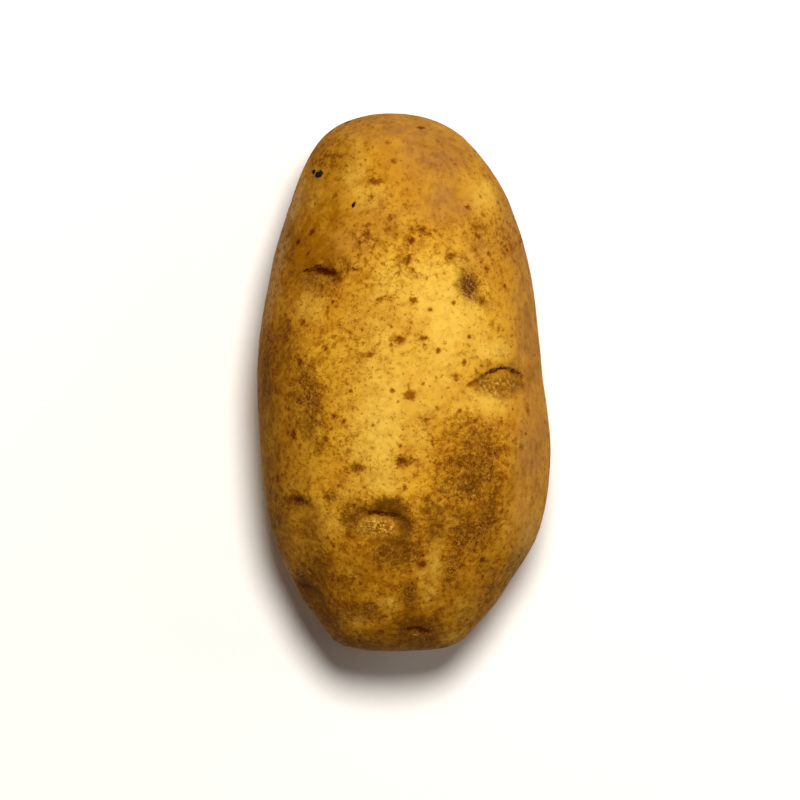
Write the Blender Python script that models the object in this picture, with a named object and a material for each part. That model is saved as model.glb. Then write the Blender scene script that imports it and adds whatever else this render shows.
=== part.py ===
"""A long, yellow-skinned potato lying on its flatter side.

One grown piece, so one solid. +Y points from the rose end, where the eyes crowd together, to the
stem end, where the tuber hung from its runner. +Z is up. The origin is under the middle of the
potato, on the surface that it lies on.

Every point of the skin is worked out from a direction on the unit sphere: the direction is carried
onto the tuber's body, then pushed along the body's normal by broad lumps, by the eyes and by the
runner's scar, and last of all laid on a small flat spot.
"""

import math
from collections import namedtuple

import bmesh
import bpy
import numpy as np

MM = 0.001

# ---------------------------------------------------------------- driving dimensions

LENGTH = 120 * MM
REST_DEPTH = 24.75 * MM  # from the body's middle plane down to the surface that it lies on
REST_EASE = 0.35 * MM  # how softly the skin meets the flat spot

# How far each end is flattened: 0 is the end of an ellipsoid, 0.5 is a flat face.
STEM_BLUNTNESS = 0.13
ROSE_BLUNTNESS = 0.38

# The body's sections, from the rose end (-1) to the stem end (+1). Half-widths and half-heights are
# those of the full ellipse: the section's own is smaller by the sphere's roundness at that station.
STATIONS = np.array((-1.0, -0.84, -0.66, -0.46, -0.22, 0.06, 0.34, 0.62, 0.84, 1.0))
HALF_WIDTHS = np.array((37.5, 29.4, 30.6, 33.1, 32.9, 31.7, 30.8, 30.4, 32.0, 36.5)) * MM
SIDE_SHIFTS = np.array((-1.9, -1.6, -1.2, 0.0, 0.1, -1.3, -1.1, -1.4, -2.5, -3.1)) * MM
HALF_HEIGHTS = np.array((22.0, 23.6, 24.8, 26.2, 26.8, 26.6, 26.0, 25.6, 26.4, 28.0)) * MM
LIFTS = np.array((1.8, 1.2, 0.8, 0.9, 1.4, 1.6, 1.4, 1.2, 1.2, 1.4)) * MM

# A broad lump, or a hollow where its height is negative. side is +1 on the upper face, -1 below.
Lump = namedtuple("Lump", "x y side radius height")
LUMPS = (
    Lump(30.5, -18, 1, 13, 0.35),  # shoulder of the right flank
    Lump(24.0, -43, 1, 7, -0.6),  # dent beside the rose end
    Lump(-23.0, -45, 1, 10, -1.1),  # hollow round the eye on the left flank
    Lump(10.0, 14, 1, 18, 0.9),  # crest of the upper face
    Lump(-14.0, 36, 1, 13, -0.7),
    Lump(-12.0, -14, 1, 11, 0.5),
    Lump(3.0, -44, 1, 11, 0.5),
    Lump(-20.0, 14, 1, 9, 0.3),
    Lump(16.0, 42, 1, 11, 0.35),
    Lump(-24.5, 41, 1, 5, -0.5),  # shallow notch on the left shoulder
    Lump(-22.0, 26, -1, 12, -0.8),
    Lump(20.0, 30, -1, 13, 0.6),
    Lump(24.0, 2, -1, 10, -0.7),
    Lump(-22.0, -18, -1, 12, 0.6),
    Lump(12.0, -42, -1, 11, -0.8),
    Lump(-12.0, -44, -1, 10, 0.5),
    Lump(4.0, 44, -1, 10, -0.5),
)

# An eye: a bud in a shallow socket, under the brow that the leaf left on its stem side. reach is
# half the brow's width, turn lays the brow round the eye's middle, and depth scales the relief.
Eye = namedtuple("Eye", "x y side reach turn depth")
EYES = (
    Eye(-19.3, 24.5, 1, 5.0, -8, 1.1),
    Eye(22.0, 2.1, 1, 5.2, 2, 1.3),
    Eye(-4.9, -30.0, 1, 5.4, -2, 1.5),
    Eye(-23.2, -26.5, 1, 2.4, -22, 0.8),
    Eye(2.5, -55.2, 1, 3.0, -6, 1.1),
    Eye(-21.8, -46.3, 1, 4.4, -38, 1.3),
    Eye(-0.5, -59.7, -1, 3.2, 5, 1.1),
    Eye(24.0, -42.0, -1, 3.6, 24, 1.0),
    Eye(-7.0, 36.0, -1, 4.2, 10, 1.1),
    Eye(20.0, 14.0, -1, 4.6, -12, 1.3),
    Eye(-21.0, -4.0, -1, 4.4, 14, 1.2),
    Eye(9.0, -30.0, -1, 4.4, -6, 1.3),
    Eye(-10.0, -46.0, -1, 3.8, 8, 1.1),
    Eye(6.0, -55.0, -1, 3.0, -10, 1.0),
)

# Heights at an eye in shares of its depth, and how the brow arches in shares of its reach.
SOCKET_HEIGHT = -0.85
BROW_HEIGHT = 0.42
CREASE_HEIGHT = -0.60
BUD_HEIGHT = 0.80
BROW_TOP = 0.16  # the brow's middle, from the eye's middle towards the stem
BROW_ARCH = 0.26  # how far the brow has curved back at one reach

# Where the runner broke off, just under the tip of the stem end.
SCAR_X = -1.5
SCAR_Y = 58.6
SCAR_RADIUS = 3.0 * MM
SCAR_DEPTH = 1.1 * MM
STUB_HEIGHT = 0.9 * MM

# Features sit at most this far out from the body's long axis, as a share of its half-width.
LIMB = 0.995

# Mesh density: squares round each of four sides, squares along the body, and finer ones at an eye.
SQUARES_AROUND = 16
SQUARES_ALONG = 32
EYE_MARGIN = 1.4  # in reaches, how far the once-divided squares go
BROW_MARGIN = 0.36  # in reaches, how far from the crease the twice-divided squares go
CREASE_MARGIN = 0.12  # in reaches, the same for the three times divided squares

SKIN_COLOUR = (0.56, 0.32, 0.07, 1.0)
SKIN_ROUGHNESS = 0.55


# ---------------------------------------------------------------- helpers


def unit(vectors):
    """Each row, brought to length 1."""
    return vectors / np.linalg.norm(vectors, axis=-1, keepdims=True)


def through(values, at):
    """A smooth curve through the values at STATIONS, read at each given station."""
    slopes = np.gradient(values, STATIONS)
    i = np.clip(np.searchsorted(STATIONS, at) - 1, 0, len(STATIONS) - 2)
    step = STATIONS[i + 1] - STATIONS[i]
    s = (at - STATIONS[i]) / step
    start = (1 + 2 * s) * (1 - s) ** 2 * values[i] + s * (1 - s) ** 2 * step * slopes[i]
    end = s**2 * (3 - 2 * s) * values[i + 1] + s**2 * (s - 1) * step * slopes[i + 1]
    return start + end


def bell(squared_distance):
    """1 at no distance, and soon nothing beyond a distance of 1."""
    return np.exp(-squared_distance)


# ---------------------------------------------------------------- the body


def along_body(station):
    """Distance along the length, in metres. The odd terms flatten the ends."""
    mean = (STEM_BLUNTNESS + ROSE_BLUNTNESS) / 2
    slant = (STEM_BLUNTNESS - ROSE_BLUNTNESS) / 2
    return LENGTH / 2 * (station + (mean + slant * station) * (station - station**3))


def body(directions):
    """The smooth body's skin, in metres, in these directions from its middle."""
    station = directions[:, 1]
    x = through(SIDE_SHIFTS, station) + through(HALF_WIDTHS, station) * directions[:, 0]
    z = through(LIFTS, station) + through(HALF_HEIGHTS, station) * directions[:, 2]
    return np.column_stack((x, along_body(station), z))


def outward(surface, directions):
    """The unit normals of a surface that is a function of direction, by small steps each way."""
    step = 0.001
    upright = np.abs(directions[:, 2:]) < 0.7
    helper = np.where(upright, (0.0, 0.0, 1.0), (1.0, 0.0, 0.0))
    first = unit(np.cross(directions, helper)) * step
    second = np.cross(directions, first)
    across = surface(unit(directions + first)) - surface(unit(directions - first))
    along = surface(unit(directions + second)) - surface(unit(directions - second))
    return unit(np.cross(across, along))


def direction_of(x, y, side):
    """The direction whose skin lies at x and y, in millimetres, on the upper or lower face."""
    stations = np.linspace(-1, 1, 2001)
    station = np.interp(y * MM, along_body(stations), stations)
    shift = through(SIDE_SHIFTS, np.array([station]))[0]
    half_width = through(HALF_WIDTHS, np.array([station]))[0]
    sideways = (x * MM - shift) / half_width
    room = math.sqrt(1 - station**2)
    sideways = max(-LIMB * room, min(LIMB * room, sideways))
    return np.array([[sideways, station, side * math.sqrt(room**2 - sideways**2)]])


# ---------------------------------------------------------------- lumps, eyes and scar


def lumped(directions):
    """The body with its broad lumps and hollows."""
    points = body(directions)
    push = np.zeros(len(points))
    for lump in LUMPS:
        middle = body(direction_of(lump.x, lump.y, lump.side))
        away = np.linalg.norm(points - middle, axis=1)
        push += lump.height * MM * bell((away / (lump.radius * MM)) ** 2)
    return points + outward(body, directions) * push[:, None]


def local_grid(feature, points):
    """Points measured from an eye's middle, in reaches: across the brow, towards the stem, out."""
    direction = direction_of(feature.x, feature.y, feature.side)
    middle = lumped(direction)[0]
    out = outward(lumped, direction)[0]
    stemward = unit(np.array((0.0, 1.0, 0.0)) - out * out[1])
    turn = math.radians(feature.turn)
    across = np.cross(stemward, out)
    stemward, across = (
        stemward * math.cos(turn) - across * math.sin(turn),
        across * math.cos(turn) + stemward * math.sin(turn),
    )
    offset = (points - middle) / (feature.reach * MM)
    return offset @ across, offset @ stemward, offset @ out


def from_crease(across, stemward):
    """Distance from the crease under the brow, which arches towards the stem."""
    return stemward - (BROW_TOP - BROW_ARCH * across**2)


def eye_relief(across, stemward):
    """Height of the skin at an eye, in shares of its depth."""
    gap = from_crease(across, stemward)
    ends = np.exp(-np.abs(across / 0.92) ** 5)
    socket = bell((across / 1.15) ** 2 + ((stemward + 0.34) / 0.70) ** 2)
    brow = ends * bell(((gap - 0.28) / 0.20) ** 2)
    crease_width = np.where(gap > 0, 0.13, 0.24)
    crease = ends * bell((gap / crease_width) ** 2)
    bud = bell((across / 0.78) ** 2 + ((stemward + 0.48) / 0.36) ** 2)
    return (
        SOCKET_HEIGHT * socket + BROW_HEIGHT * brow + CREASE_HEIGHT * crease + BUD_HEIGHT * bud
    )


def scar_relief(points, middle):
    """Height of the skin at the runner's scar, in metres: a pit with a broken stub in it."""
    away = np.linalg.norm(points - middle, axis=1) / SCAR_RADIUS
    return STUB_HEIGHT * bell((away / 0.42) ** 2) - SCAR_DEPTH * bell(away**2)


def skin(directions):
    """The finished skin: lumps, eyes and scar, laid on the flat spot."""
    points = lumped(directions)
    push = scar_relief(points, lumped(direction_of(SCAR_X, SCAR_Y, -1)))
    for eye in EYES:
        across, stemward, out = local_grid(eye, points)
        near = np.abs(out) < 1.5
        push += near * eye.depth * MM * eye_relief(across, stemward)
    points = points + outward(lumped, directions) * push[:, None]
    points[:, 2] = rested(points[:, 2] + REST_DEPTH)
    return points


def rested(height):
    """Heights over the surface: flat where the body would sink into it, easing in just above."""
    eased = height**2 / (4 * REST_EASE)
    return np.where(height <= 0, 0, np.where(height < 2 * REST_EASE, eased, height - REST_EASE))


# ---------------------------------------------------------------- the mesh


def directions_of(elements):
    """Unit directions of some vertices, or of the middles of some faces."""
    if isinstance(elements[0], bmesh.types.BMFace):
        return unit(np.array([face.calc_center_median() for face in elements]))
    return unit(np.array([vert.co for vert in elements]))


def squares_on_sphere():
    """A sphere of near-equal squares: a box divided finer along the body, then made round."""
    mesh = bmesh.new()
    bmesh.ops.create_cube(mesh, size=2)
    lengthwise = [e for e in mesh.edges if abs(e.verts[0].co.y - e.verts[1].co.y) > 1]
    bmesh.ops.subdivide_edges(mesh, edges=lengthwise, cuts=SQUARES_ALONG - 1)
    across = [e for e in mesh.edges if abs(e.verts[0].co.y - e.verts[1].co.y) < 1e-4]
    bmesh.ops.subdivide_edges(mesh, edges=across, cuts=SQUARES_AROUND - 1, use_grid_fill=True)
    for vert in mesh.verts:
        # Equal steps of angle, so that squares near the box's corners aren't small.
        vert.co = [math.tan(math.pi / 4 * part) for part in vert.co]
        vert.co.normalize()
    return mesh


def divide(mesh, wanted):
    """Divides each wanted face in four, and puts the new corners back on the sphere."""
    edges = {edge for face in wanted for edge in face.edges}
    bmesh.ops.subdivide_edges(mesh, edges=list(edges), cuts=1, use_grid_fill=True)
    for vert in mesh.verts:
        vert.co.normalize()


def faces_near_eyes(mesh, chosen):
    """The faces whose middles an eye's test picks. The test reads local coordinates."""
    faces = list(mesh.faces)
    points = lumped(directions_of(faces))
    picked = np.zeros(len(faces), bool)
    for eye in EYES:
        across, stemward, out = local_grid(eye, points)
        picked |= (np.abs(out) < 1) & chosen(across, stemward)
    return [face for face, keep in zip(faces, picked) if keep]


def at_eye(across, stemward):
    return np.hypot(across, stemward + 0.2) < EYE_MARGIN


def at_brow(across, stemward):
    return (np.abs(from_crease(across, stemward)) < BROW_MARGIN) & (np.abs(across) < 1.1)


def at_crease(across, stemward):
    return (np.abs(from_crease(across, stemward)) < CREASE_MARGIN) & (np.abs(across) < 0.95)


def build_potato():
    """The potato, one closed solid."""
    mesh = squares_on_sphere()
    for test in (at_eye, at_brow, at_crease):
        divide(mesh, faces_near_eyes(mesh, test))
    bmesh.ops.triangulate(mesh, faces=mesh.faces)
    points = skin(directions_of(list(mesh.verts)))
    low, high = points.min(axis=0), points.max(axis=0)
    points[:, :2] -= (low[:2] + high[:2]) / 2
    for vert, point in zip(mesh.verts, points):
        vert.co = point
    data = bpy.data.meshes.new("potato")
    mesh.to_mesh(data)
    mesh.free()
    data.shade_smooth()
    potato = bpy.data.objects.new("potato", data)
    bpy.context.collection.objects.link(potato)
    return potato


def skin_material():
    """Thin, faintly glossy yellow-brown skin."""
    material = bpy.data.materials.new("potato_skin")
    material.use_nodes = True
    shader = material.node_tree.nodes["Principled BSDF"]
    shader.inputs["Base Color"].default_value = SKIN_COLOUR
    shader.inputs["Roughness"].default_value = SKIN_ROUGHNESS
    shader.inputs["Metallic"].default_value = 0.0
    return material


def main():
    for old in list(bpy.data.objects):
        bpy.data.objects.remove(old)
    potato = build_potato()
    potato.data.materials.append(skin_material())


main()
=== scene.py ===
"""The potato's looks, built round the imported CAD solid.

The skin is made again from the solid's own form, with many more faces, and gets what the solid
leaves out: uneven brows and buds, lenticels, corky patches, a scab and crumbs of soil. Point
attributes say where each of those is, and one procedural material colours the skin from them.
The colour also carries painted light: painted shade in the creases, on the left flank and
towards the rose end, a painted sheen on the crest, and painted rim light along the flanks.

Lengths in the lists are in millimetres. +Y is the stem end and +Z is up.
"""

import math
from collections import namedtuple
from itertools import product

import bmesh
import bpy
import numpy as np
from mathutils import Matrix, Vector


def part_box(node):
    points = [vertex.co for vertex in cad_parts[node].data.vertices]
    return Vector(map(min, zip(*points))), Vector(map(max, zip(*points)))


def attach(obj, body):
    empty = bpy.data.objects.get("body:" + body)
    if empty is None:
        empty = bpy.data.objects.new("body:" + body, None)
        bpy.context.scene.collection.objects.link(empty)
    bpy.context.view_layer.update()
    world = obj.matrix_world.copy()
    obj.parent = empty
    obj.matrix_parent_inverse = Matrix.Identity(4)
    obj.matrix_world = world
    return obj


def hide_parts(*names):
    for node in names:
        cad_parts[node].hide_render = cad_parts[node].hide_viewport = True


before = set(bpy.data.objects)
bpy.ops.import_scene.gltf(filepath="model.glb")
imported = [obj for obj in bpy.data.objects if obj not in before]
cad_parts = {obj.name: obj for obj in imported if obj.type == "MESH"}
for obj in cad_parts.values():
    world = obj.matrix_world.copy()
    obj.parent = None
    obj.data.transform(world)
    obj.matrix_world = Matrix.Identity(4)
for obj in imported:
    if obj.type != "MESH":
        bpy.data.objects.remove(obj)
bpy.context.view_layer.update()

MM = 0.001


def each(kind, *rows):
    """One named tuple of this kind for each row."""
    return tuple(kind(*row) for row in rows)


# -------- the form, as in the solid

LENGTH = 120 * MM
REST_DEPTH = 24.75 * MM
REST_EASE = 0.35 * MM
STEM_BLUNTNESS = 0.13
ROSE_BLUNTNESS = 0.38
STATIONS = np.array((-1.0, -0.84, -0.66, -0.46, -0.22, 0.06, 0.34, 0.62, 0.84, 1.0))
HALF_WIDTHS = np.array((37.5, 29.4, 30.6, 33.1, 32.9, 31.7, 30.8, 30.4, 32.0, 36.5)) * MM
SIDE_SHIFTS = np.array((-1.9, -1.6, -1.2, 0.0, 0.1, -1.3, -1.1, -1.4, -2.5, -3.1)) * MM
HALF_HEIGHTS = np.array((22.0, 23.6, 24.8, 26.2, 26.8, 26.6, 26.0, 25.6, 26.4, 28.0)) * MM
LIFTS = np.array((1.8, 1.2, 0.8, 0.9, 1.4, 1.6, 1.4, 1.2, 1.2, 1.4)) * MM

Lump = namedtuple("Lump", "x y side radius height")
LUMPS = each(
    Lump,
    (30.5, -18, 1, 13, 0.35), (24, -43, 1, 7, -0.6), (-23, -45, 1, 10, -1.1), (10, 14, 1, 18, 0.9),
    (-14, 36, 1, 13, -0.7), (-12, -14, 1, 11, 0.5), (3, -44, 1, 11, 0.5), (-20, 14, 1, 9, 0.3),
    (16, 42, 1, 11, 0.35), (-24.5, 41, 1, 5, -0.5), (-22, 26, -1, 12, -0.8), (20, 30, -1, 13, 0.6),
    (24, 2, -1, 10, -0.7), (-22, -18, -1, 12, 0.6), (12, -42, -1, 11, -0.8),
    (-12, -44, -1, 10, 0.5), (4, 44, -1, 10, -0.5),
)

# bare is how far the bud stands up and groove how deep the crease is. The last four say how brown
# the eye is, how dark its crease, how pale the torn skin over the crease, and which end of the
# crease is the heavier: 1 is the right end. The upper eyes get their colours from the patches.
Eye = namedtuple("Eye", "x y side reach turn depth bare groove tone slit lip lean")
EYES = each(
    Eye,
    (-19.3, 24.5, 1, 5, -8, 1.1, 0.6, 0.8, 0.3, 0, 0.1, 0.7),
    (22, 2.1, 1, 5.2, 2, 1.3, 0.7, 0.5, 0.3, 0, 0.8, 0),
    (-4.9, -30, 1, 5.4, -2, 1.35, 0.9, 0, 0.3, 0, 0.1, 0.3),
    (-23.2, -26.5, 1, 2.4, -22, 0.4, 0, 0, 0, 0, 0, 0),
    (2.5, -55.2, 1, 3, -6, 0.45, 0.2, 0, 0.1, 0, 0, 0.2),
    (-21.8, -46.3, 1, 4.4, -38, 0.6, 0.1, 0, 0, 0, 0, 0),
    (-0.5, -59.7, -1, 3.2, 5, 1.1, 0.5, 0.7, 0.8, 0.8, 0.5, 0),
    (24, -42, -1, 3.6, 24, 1, 0.5, 0.8, 0.8, 0.9, 0.7, -0.4),
    (-7, 36, -1, 4.2, 10, 1.1, 0.7, 0.8, 0.5, 0.8, 0.6, 0.4),
    (20, 14, -1, 4.6, -12, 1.3, 0.9, 0.9, 0.7, 0.9, 0.8, 0),
    (-21, -4, -1, 4.4, 14, 1.2, 0.7, 0.8, 0.6, 0.8, 0.7, -0.5),
    (9, -30, -1, 4.4, -6, 1.3, 1, 0.9, 0.8, 1, 0.8, 0.3),
    (-10, -46, -1, 3.8, 8, 1.1, 0.6, 0.8, 0.8, 0.9, 0.5, -0.3),
    (6, -55, -1, 3, -10, 1, 0.5, 0.7, 0.9, 0.8, 0.4, 0),
)
BROW_TOP = 0.16
BROW_ARCH = 0.26
EYE_THICKNESS = 1.5  # in reaches, how far out of its own plane an eye still shows
EYE_MARKS = ("crease", "shade", "ring", "bud", "tip", "lip")
SCAR_X = -1.5
SCAR_Y = 58.6
SCAR_RADIUS = 3.0 * MM
LIMB = 0.995  # of the half-width: places further out count as lying there

# -------- what the solid leaves out

# Lenticels, the skin's pores: place, radius, how dark it is, how much wider than high, and turn.
Pore = namedtuple("Pore", "x y radius tone stretch turn", defaults=(0.7, 1.0, 0))
UPPER_LENTICELS = each(
    Pore,
    (-2.3, 49, 0.55), (-12.8, 48, 0.5, 0.5), (-6.5, 44.5, 0.65, 0.8, 1.9, -5),
    (-7.2, 41, 0.6, 0.6, 1.2, 20), (-15.2, 41.5, 0.5, 0.6), (-3.4, 53.2, 0.5, 0.5),
    (-8.6, 53, 0.5, 0.45), (5, 52.3, 0.5, 0.5), (7.4, 53.6, 0.4, 0.5), (3.8, 56.6, 0.45, 1, 1.5),
    (-3, 36.4, 0.6, 0.7, 1.1, 30), (-8.4, 32.8, 0.75, 0.8, 1.2), (14.2, 38.8, 0.55, 0.8),
    (17.8, 37, 0.5, 0.5), (16.2, 32.3, 0.6, 0.7, 1.3, -30), (20.8, 40, 0.5, 0.6),
    (21.2, 36.3, 0.5, 0.6), (1.7, 31.2, 0.5, 0.95, 1.3, 60), (4, 34, 0.6, 0.7, 1.4),
    (6.9, 33.6, 0.45, 0.8), (0.9, 27.3, 0.7, 0.7, 1.1, 20), (1.9, 24.9, 0.45, 0.8),
    (10.6, 28, 0.8, 0.5, 1.2), (18.8, 28.5, 0.5, 0.8), (18.3, 25, 0.6, 0.8, 1.3, 60),
    (5, 22.9, 0.45, 0.6), (-1.2, 24.2, 0.45, 0.6), (-8.3, 21.3, 0.4, 0.8),
    (-5.5, 18, 0.5, 0.7, 1.7, 30), (-20.5, 33.3, 0.5, 1, 1.6, 40), (-23.5, 31.2, 0.5, 0.9),
    (-13.4, 27.3, 0.7, 0.5, 1.8), (22.4, 21.3, 0.5), (2.1, 18.1, 0.6, 1, 1.2),
    (5.9, 16.1, 0.45, 0.8), (11, 17.6, 0.4, 0.9), (-22.5, 13.5, 0.8), (-9.4, 11.5, 0.4),
    (-12.1, 11, 0.5, 0.6, 1.4), (-0.9, 9.3, 0.7, 0.9, 1.5, 10), (4.3, 9.7, 0.5, 0.9, 1.6, 10),
    (14.5, 10, 0.4, 0.9), (7.7, 7, 0.5, 0.9), (-7.5, 6.1, 0.5, 0.9, 1.6, 20),
    (13.4, 4.4, 0.45, 0.9), (14.7, -0.4, 0.4, 1, 1.8, 27), (15.9, 0.25, 0.42, 1, 2, 27),
    (11.6, 1.2, 0.6, 0.8, 1.4, -10), (1.3, -2.8, 0.85, 1, 1.2), (-2.6, -1.9, 0.5, 0.9),
    (-17.5, 7.5, 0.6), (-9, 8.6, 0.4, 0.6), (-11.8, -2, 0.35, 1), (4.6, -8.6, 0.75, 0.7, 1.5, -40),
    (-13.3, -8.8, 0.35, 0.8, 2.4, 60), (-24.5, -11.6, 0.6, 1, 1.4, 80), (14.8, -3.5, 0.5, 0.6),
    (12.4, -6.4, 0.4, 0.9), (-23, 4.5, 0.7, 0.8), (-0.1, -17.3, 0.7, 0.7, 1.8, -10),
    (-0.8, -14.2, 0.4, 0.9), (-9.8, -18.8, 0.65, 0.55, 2.4), (-8.8, -23.3, 0.35),
    (0.2, -23.3, 0.45, 0.8), (-17, -25.8, 0.8, 0.75, 1.5, -60), (4.2, -40.2, 0.8, 0.75, 1.3, 30),
    (17.2, -39.5, 0.45, 1, 1, 30), (-14.6, -23, 0.4), (-28, -21.5, 0.7, 0.7, 1.5, 80),
    (-5, -52.5, 0.6, 0.5, 1.7), (-5, -55.4, 0.45, 0.6), (17.2, 17.8, 0.9, 0.5, 1.2, -30),
    (24, 12, 0.45, 0.5), (-15.8, 17.8, 0.4, 0.8), (-17.3, -12.4, 0.5), (-7, -9.6, 0.35),
    (26, -14.2, 0.5, 0.6), (27.6, -6.2, 0.6, 0.7, 1.8, 90),
)
OTHER_LENTICELS = 150  # placed by chance round the rest of the skin
LENTICEL_SPACING = 4.5

# A patch of the upper face: place, half-widths, strength, and turn in degrees.
Patch = namedtuple("Patch", "x y across along strength turn", defaults=(0,))
# Skin with much cork.
RUSSET = each(
    Patch,
    # the wide patch on the right
    (15, -16, 9, 8, 0.66), (16, -17, 5, 4, 0.35), (14.5, -9, 4, 2.5, 0.35), (17, -21, 5, 3.5, 0.2),
    (5, -8.5, 2, 1.5, 0.5), (12, -24, 5, 3, 0.7), (14.5, -34, 4.2, 3.6, 1),
    (19.2, -30, 3, 3.8, 0.65), (7, -29, 4, 5, 0.6), (11, -41, 2.5, 4, 0.75), (17, -24, 5, 4, 0.25),
    # round the middle eye
    (-4, -27, 4.2, 1.6, 1), (-11.5, -29, 3, 2.5, 0.9, 20), (1.2, -30.5, 1.8, 4, 1.1, 12),
    (-1, -37.5, 6, 2.6, 1.1), (-12, -33, 2.5, 3, 0.5),
    # the rose end
    (1.2, -47, 2.5, 3, 0.8), (2.8, -55, 4.5, 3, 1.2), (-9, -50.5, 5, 2, 0.75, -10),
    (-14, -46, 3, 3, 0.5), (-23, -45.5, 3.5, 4, 1.1, 35), (-18, -51.5, 3, 5, 1.2, 42),
    (-19, -41, 3.5, 5, 0.5), (-10, -57.5, 8, 2.5, 0.5), (14, -54, 4, 2.5, 0.3, -35),
    (20, -46, 3, 5, 0.5, -30), (9.5, -45, 1.5, 2.5, 0.4),
    # the left flank and the middle
    (-20.6, -5.5, 2.7, 9, 0.85, 8), (-21.5, 3, 2, 3.5, 0.5), (-26.5, 10, 3, 5, 0.5),
    (-30, 3, 2, 9, 0.6), (-24.5, -4, 3, 6, 0.35), (-24, -26.3, 3, 1.6, 0.7, -15),
    (-16.5, -25.5, 1.6, 1.6, 0.6), (-28, -28, 2.5, 7, 0.4), (-10.3, -18.9, 2.6, 1, 0.8),
    (0.2, -17.2, 3, 1.6, 0.75, -10), (-14, -12, 4, 5, 0.25),
    # the shoulder and the stem end
    (-17.5, 23.5, 3.2, 3.2, 0.8), (-24, 30, 2, 3, 0.2), (-12, 26, 2.5, 2, 0.55),
    (-9, 32, 3, 2.5, 0.55), (-17.5, 48, 3, 3.5, 0.5), (-6.8, 44.6, 2.2, 1.1, 0.5),
    (3.5, 33.5, 4.5, 2.2, 0.35), (0.5, 27, 1.8, 3, 0.4), (-1, 25, 7, 7, 0.25),
    (10, 28, 2.5, 2, 0.6), (14.3, 21.8, 3, 4.2, 0.7, 20), (17.2, 17.8, 1.6, 1.4, 0.5),
    (16, 34, 3, 3, 0.5), (23.5, 31, 3, 4, 0.6), (22, -0.8, 4.6, 2.4, 0.5), (-13, 8, 6, 8, 0.2),
)
# Skin darker still: stains, and painted shade at the rose end, on the left flank and by the
# creases.
DARK_STAINS_AND_SHADE = each(
    Patch,
    # below the small eye on the left
    (-23.2, -28.2, 1.8, 1.3, 0.35), (-27.3, -35, 1.3, 5, 0.4, 12),
    # the wide patch on the right
    (14.5, -16.8, 3.6, 1.8, 0.3), (13, -20, 5, 4, 0.2), (13.5, -30.8, 4.5, 2.5, 0.3),
    (16, -13, 4, 2.5, 0.2), (15, -34, 3.6, 2.8, 0.2), (6.8, -29.8, 3.2, 2.6, 0.5),
    (7, -34.2, 2.8, 2.4, 0.7), (12.2, -29.2, 2.2, 1.4, 0.55), (14.8, -23.7, 2.6, 1.5, 0.45),
    (17.5, -21.5, 3.6, 2.4, 0.25), (16.2, -28.8, 2.8, 1.5, 0.45), (23.6, -26.2, 1.8, 2, 0.25),
    (22, -24.5, 3, 2.6, 0.2), (4.5, -25.8, 2.4, 1.4, 0.2), (19.2, -29.5, 2, 3, 0.4),
    (25, -20, 2.6, 5, 0.25), (18.2, -40.8, 2.2, 2.4, 0.5), (5, -9.5, 2, 2, 0.15),
    # round the middle eye
    (-2.8, -27.5, 3.6, 1.3, 1, -2), (-6.5, -28.4, 3, 0.9, 0.4, 6), (-10.8, -29, 3, 1.2, 0.5, 20),
    (-12.2, -31.8, 1.8, 2.4, 0.55), (-4.6, -30.4, 4, 0.6, 0.35), (-9.6, -33.8, 1.8, 1.1, 0.3),
    (-0.1, -31.3, 2, 2.6, 1.05), (-0.8, -34.7, 3.2, 1.3, 0.7), (-0.8, -36.8, 4.2, 2.2, 0.5),
    (-5.5, -36, 2.6, 1.4, 0.3), (-1.5, -39, 3, 1.5, 0.3),
    # the rose end
    (-21.2, -32.8, 2.6, 4.6, 0.7), (-23.2, -26.4, 2.5, 1.4, 0.95, -22),
    (-18.2, -41.5, 2.6, 4, 0.6), (-20.6, -46.8, 2.4, 3.6, 1, 35),
    (-16.5, -52.2, 2.8, 4.2, 0.8, 40), (-11.5, -51, 3.4, 1.8, 0.45), (-7.5, -50.6, 2.4, 1.3, 0.4),
    (1.2, -50, 2.2, 3.2, 0.6), (2.8, -54.5, 4.4, 2.6, 0.9), (3.4, -57.4, 2.4, 1.4, 0.35),
    (1.2, -46.5, 1.6, 2, 0.35), (-8, -59, 10, 1.8, 0.2), (4, -58.5, 4, 1.5, 0.25),
    (17, -50.5, 4.5, 3, 0.1, 35), (9, -52.5, 3, 2, 0.2), (-4, -41, 9, 3, 0.08),
    # the left flank
    (-28, 8, 2, 3, 0.1), (-30.8, 1, 1.8, 9, 0.5), (-26, 4.5, 4, 2.6, 0.2),
    (-21.6, -11, 1.9, 4.4, 0.6, 8), (-19.8, -2, 1.2, 3.5, 0.3, 10), (-17.8, -5.8, 1.4, 1.5, 0.4),
    (-28.4, -2.5, 1.8, 5.5, 0.25), (-21.5, -20, 1.5, 4, 0.2), (-23.5, -23.5, 2, 2, 0.2),
    # the shoulder and the stem end
    (-18.4, 23.9, 2, 1, 0.35, -12), (-19.4, 20.9, 2, 1, 0.25), (12.2, 26, 1.6, 2, 0.3),
    (-24.8, 25.5, 1.4, 2.4, 0.3, -10), (-25.6, 32.5, 1.8, 4.5, 0.4, -16),
    (-19.5, 45.5, 1.6, 1.6, 0.3), (-4, 33, 3, 1.8, 0.2), (-8, 38, 3, 2, 0.08),
    (6, 50.5, 4, 4, 0.07), (12.4, 22.4, 1.4, 2.2, 0.35), (14.6, 22.5, 1.8, 2.6, 0.2, 10),
    (17, 17.4, 2.4, 1.4, 0.35, -28), (11, 28.5, 2.6, 1.6, 0.15, -30), (17, 34, 4, 3, 0.12),
    # the eye on the right
    (25.3, 0, 1.3, 2, 0.6), (17.6, 0.3, 1.2, 0.9, 0.35, 40), (17.6, -1.4, 0.7, 1.6, 0.3, 30),
    (21, -3, 3, 0.5, 0.2), (21.3, -0.7, 4.6, 2.3, 0.36), (28, 2.2, 3.6, 1.6, 0.25),
)
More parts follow.
